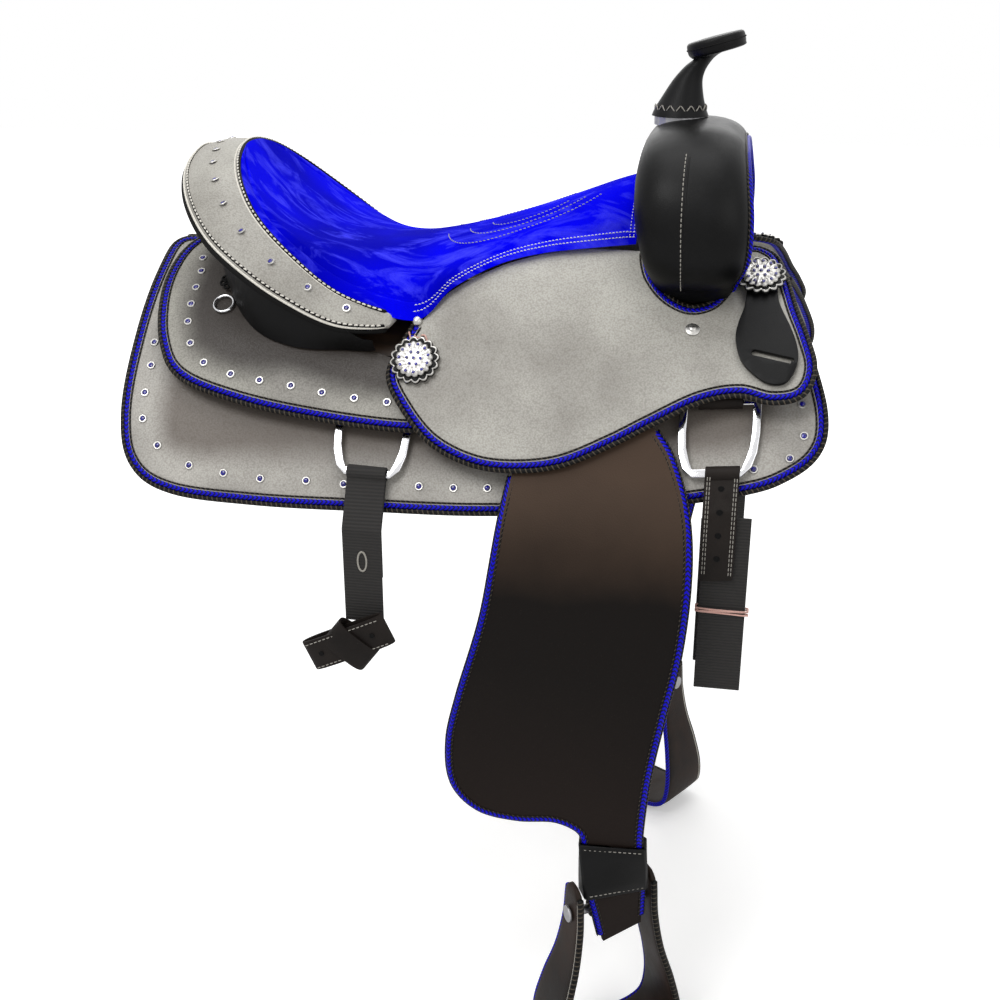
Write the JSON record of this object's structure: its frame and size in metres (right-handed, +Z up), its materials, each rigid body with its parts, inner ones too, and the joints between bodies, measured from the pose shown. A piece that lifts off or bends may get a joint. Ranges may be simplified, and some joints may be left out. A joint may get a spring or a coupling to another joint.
{
  "type": "ranch saddle",
  "caption": "Western ranch saddle with horn, high cantle, padded seat, skirts, dee rigging, billets, fenders and swinging stirrups, for riding a horse.",
  "frame": {"origin": "on the spine line under the middle of the saddle, at the inner face of the fleece; x = 0 is the middle of its length", "axes": "+X towards the horn, +Y towards the near (left) side of the horse, +Z up"},
  "size_m": [0.719, 0.6524, 1.0563],
  "materials": {
    "black_leather": "smooth, satin",
    "blue_piping": "twisted cord",
    "brown_leather": "smooth, matt",
    "chrome": "polished",
    "fleece": "woolly fleece",
    "grey_leather": "pebble grain, satin",
    "steel": "plain",
    "suede": "brushed suede",
    "wood": "sealed"
  },
  "bodies": {
    "saddle": {"bar_left": "wood", "bar_right": "wood", "cantle_back": "black_leather", "cantle_board": "wood", "cantle_roll": "grey_leather", "fleece_left": "fleece", "fleece_right": "fleece", "fork": "wood", "front_concho_left": "chrome", "front_concho_right": "chrome", "front_rosette_left": "black_leather", "front_rosette_right": "black_leather", "ground_seat": "steel", "horn": "steel", "horn_cover": "black_leather", "rear_concho_left": "chrome", "rear_concho_right": "chrome", "rear_jockey_left": "grey_leather", "rear_jockey_right": "grey_leather", "rear_rosette_left": "black_leather", "rear_rosette_right": "black_leather", "rigging_left": "brown_leather", "rigging_right": "brown_leather", "seat": "suede", "seat_jockey_left": "grey_leather", "seat_jockey_piping_left": "blue_piping", "seat_jockey_piping_right": "blue_piping", "seat_jockey_right": "grey_leather", "skirt_left": "grey_leather", "skirt_piping_left": "blue_piping", "skirt_piping_right": "blue_piping", "skirt_right": "grey_leather", "swell_cover": "black_leather"},
    "stirrup_leather_left": {"stirrup_leather_upper_left": "brown_leather"},
    "fender_left": {"fender_left": "brown_leather", "stirrup_leather_lower_left": "brown_leather", "hobble_strap_left": "black_leather", "leather_buckle_left": "steel"},
    "stirrup_left": {"stirrup_left": "brown_leather", "stirrup_bolt_left": "steel"},
    "front_dee_left": {"front_dee_left": "chrome"},
    "front_billet_left": {"front_billet_left": "black_leather"},
    "rear_dee_left": {"rear_dee_left": "chrome"},
    "rear_billet_left": {"rear_billet_left": "black_leather"},
    "string_dee_left": {"string_dee_left": "chrome"},
    "latigo_keeper_left": {"latigo_keeper_left": "black_leather"},
    "stirrup_leather_right": {"stirrup_leather_upper_right": "brown_leather"},
    "fender_right": {"fender_right": "brown_leather", "stirrup_leather_lower_right": "brown_leather", "hobble_strap_right": "black_leather", "leather_buckle_right": "steel"},
    "stirrup_right": {"stirrup_right": "brown_leather", "stirrup_bolt_right": "steel"},
    "front_dee_right": {"front_dee_right": "chrome"},
    "front_billet_right": {"front_billet_right": "black_leather"},
    "rear_dee_right": {"rear_dee_right": "chrome"},
    "rear_billet_right": {"rear_billet_right": "black_leather"},
    "string_dee_right": {"string_dee_right": "chrome"},
    "latigo_keeper_right": {"latigo_keeper_right": "black_leather"}
  },
  "joints": [
    {"name": "leather_swing_left", "type": "hinge", "parent": "saddle", "child": "stirrup_leather_left", "pos_m": [0.115, 0.11019, -0.01384], "axis": [0, 0.9511, 0.309], "range_deg": [-5, 2]},
    {"name": "fender_flap_left", "type": "hinge", "parent": "stirrup_leather_left", "child": "fender_left", "pos_m": [0.115, 0.2093, -0.1202], "axis": [0.9315, -0.1943, 0.3074], "range_deg": [0, 22]},
    {"name": "stirrup_swing_left", "type": "hinge", "parent": "fender_left", "child": "stirrup_left", "pos_m": [0.16, 0.25625, -0.606], "axis": [0.848, -0.5299, 0], "range_deg": [-35, 50]},
    {"name": "front_dee_swing_left", "type": "hinge", "parent": "saddle", "child": "front_dee_left", "pos_m": [0.241, 0.16645, -0.073], "axis": [0.9965, 0, 0.084], "range_deg": [0, 12]},
    {"name": "front_billet_swing_left", "type": "hinge", "parent": "front_dee_left", "child": "front_billet_left", "pos_m": [0.241, 0.21183, -0.13018], "axis": [0.9965, 0, 0.084], "range_deg": [0, 60]},
    {"name": "rear_dee_swing_left", "type": "hinge", "parent": "saddle", "child": "rear_dee_left", "pos_m": [-0.101, 0.17626, -0.09326], "axis": [0.9991, 0, -0.0429], "range_deg": [0, 8]},
    {"name": "rear_billet_swing_left", "type": "hinge", "parent": "rear_dee_left", "child": "rear_billet_left", "pos_m": [-0.101, 0.21879, -0.14995], "axis": [0.9991, 0, -0.0429], "range_deg": [0, 60]},
    {"name": "string_dee_swing_left", "type": "hinge", "parent": "saddle", "child": "string_dee_left", "pos_m": [-0.276, 0.11972, -0.0001], "axis": [1, 0, 0], "range_deg": [0, 60]},
    {"name": "latigo_keeper_swing_left", "type": "hinge", "parent": "saddle", "child": "latigo_keeper_left", "pos_m": [0.271, 0.08156, 0.02622], "axis": [0.0009, 0.5163, 0.8564], "range_deg": [-2, 2]},
    {"name": "leather_swing_right", "type": "hinge", "parent": "saddle", "child": "stirrup_leather_right", "pos_m": [0.115, -0.11019, -0.01384], "axis": [0, 0.9511, -0.309], "range_deg": [-5, 2]},
    {"name": "fender_flap_right", "type": "hinge", "parent": "stirrup_leather_right", "child": "fender_right", "pos_m": [0.115, -0.2093, -0.1202], "axis": [-0.9315, -0.1943, -0.3074], "range_deg": [0, 22]},
    {"name": "stirrup_swing_right", "type": "hinge", "parent": "fender_right", "child": "stirrup_right", "pos_m": [0.16, -0.25625, -0.606], "axis": [-0.848, -0.5299, 0], "range_deg": [-35, 50]},
    {"name": "front_dee_swing_right", "type": "hinge", "parent": "saddle", "child": "front_dee_right", "pos_m": [0.241, -0.16645, -0.073], "axis": [-0.9965, 0, -0.084], "range_deg": [0, 12]},
    {"name": "front_billet_swing_right", "type": "hinge", "parent": "front_dee_right", "child": "front_billet_right", "pos_m": [0.241, -0.21183, -0.13018], "axis": [-0.9965, 0, -0.084], "range_deg": [0, 60]},
    {"name": "rear_dee_swing_right", "type": "hinge", "parent": "saddle", "child": "rear_dee_right", "pos_m": [-0.101, -0.17626, -0.09326], "axis": [-0.9991, 0, 0.0429], "range_deg": [0, 8]},
    {"name": "rear_billet_swing_right", "type": "hinge", "parent": "rear_dee_right", "child": "rear_billet_right", "pos_m": [-0.101, -0.21879, -0.14995], "axis": [-0.9991, 0, 0.0429], "range_deg": [0, 60]},
    {"name": "string_dee_swing_right", "type": "hinge", "parent": "saddle", "child": "string_dee_right", "pos_m": [-0.276, -0.11972, -0.0001], "axis": [-1, 0, 0], "range_deg": [0, 60]},
    {"name": "latigo_keeper_swing_right", "type": "hinge", "parent": "saddle", "child": "latigo_keeper_right", "pos_m": [0.271, -0.08156, 0.02622], "axis": [0.0009, -0.5163, 0.8564], "range_deg": [-2, 2]}
  ]
}
